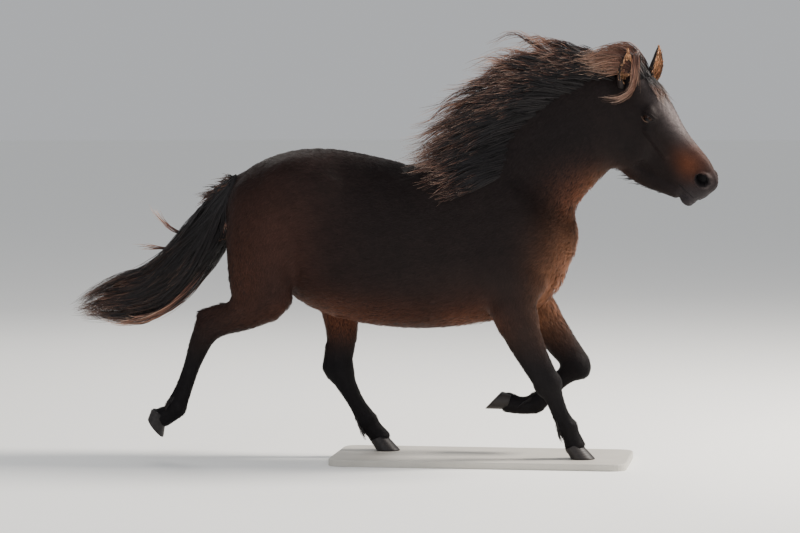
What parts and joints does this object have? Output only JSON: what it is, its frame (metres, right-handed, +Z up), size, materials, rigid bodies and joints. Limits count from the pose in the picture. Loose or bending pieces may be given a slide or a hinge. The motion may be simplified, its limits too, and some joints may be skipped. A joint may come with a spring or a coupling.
{
  "type": "icelandic horse",
  "caption": "Life-size still figure of a shaggy pony at a trot, head turned, mane and tail streaming, on a low flat base.",
  "frame": {"origin": "centre of the base's underside", "axes": "+X the way the animal faces, +Y to its left, +Z up"},
  "size_m": [2.8459, 0.5752, 1.8684],
  "materials": {
    "coat": "matt to satin fur",
    "dark_coat": "matt fur",
    "tail_hair": "satin long hair",
    "horn": "satin horn with fine growth lines",
    "eye": "wet gloss",
    "base_board": "painted satin"
  },
  "bodies": {
    "root": {"torso": "coat", "neck": "coat", "head": "coat", "ear_right": "coat", "ear_left": "coat", "eye_right": "eye", "eye_left": "eye", "tail": "tail_hair", "leg_hind_right_upper": "coat", "leg_hind_right_lower": "dark_coat", "hoof_hind_right": "horn", "leg_hind_left_upper": "coat", "leg_hind_left_lower": "dark_coat", "hoof_hind_left": "horn", "leg_fore_right_upper": "coat", "leg_fore_right_lower": "dark_coat", "hoof_fore_right": "horn", "leg_fore_left_upper": "coat", "leg_fore_left_lower": "dark_coat", "hoof_fore_left": "horn", "stand_base": "base_board"}
  },
  "joints": []
}
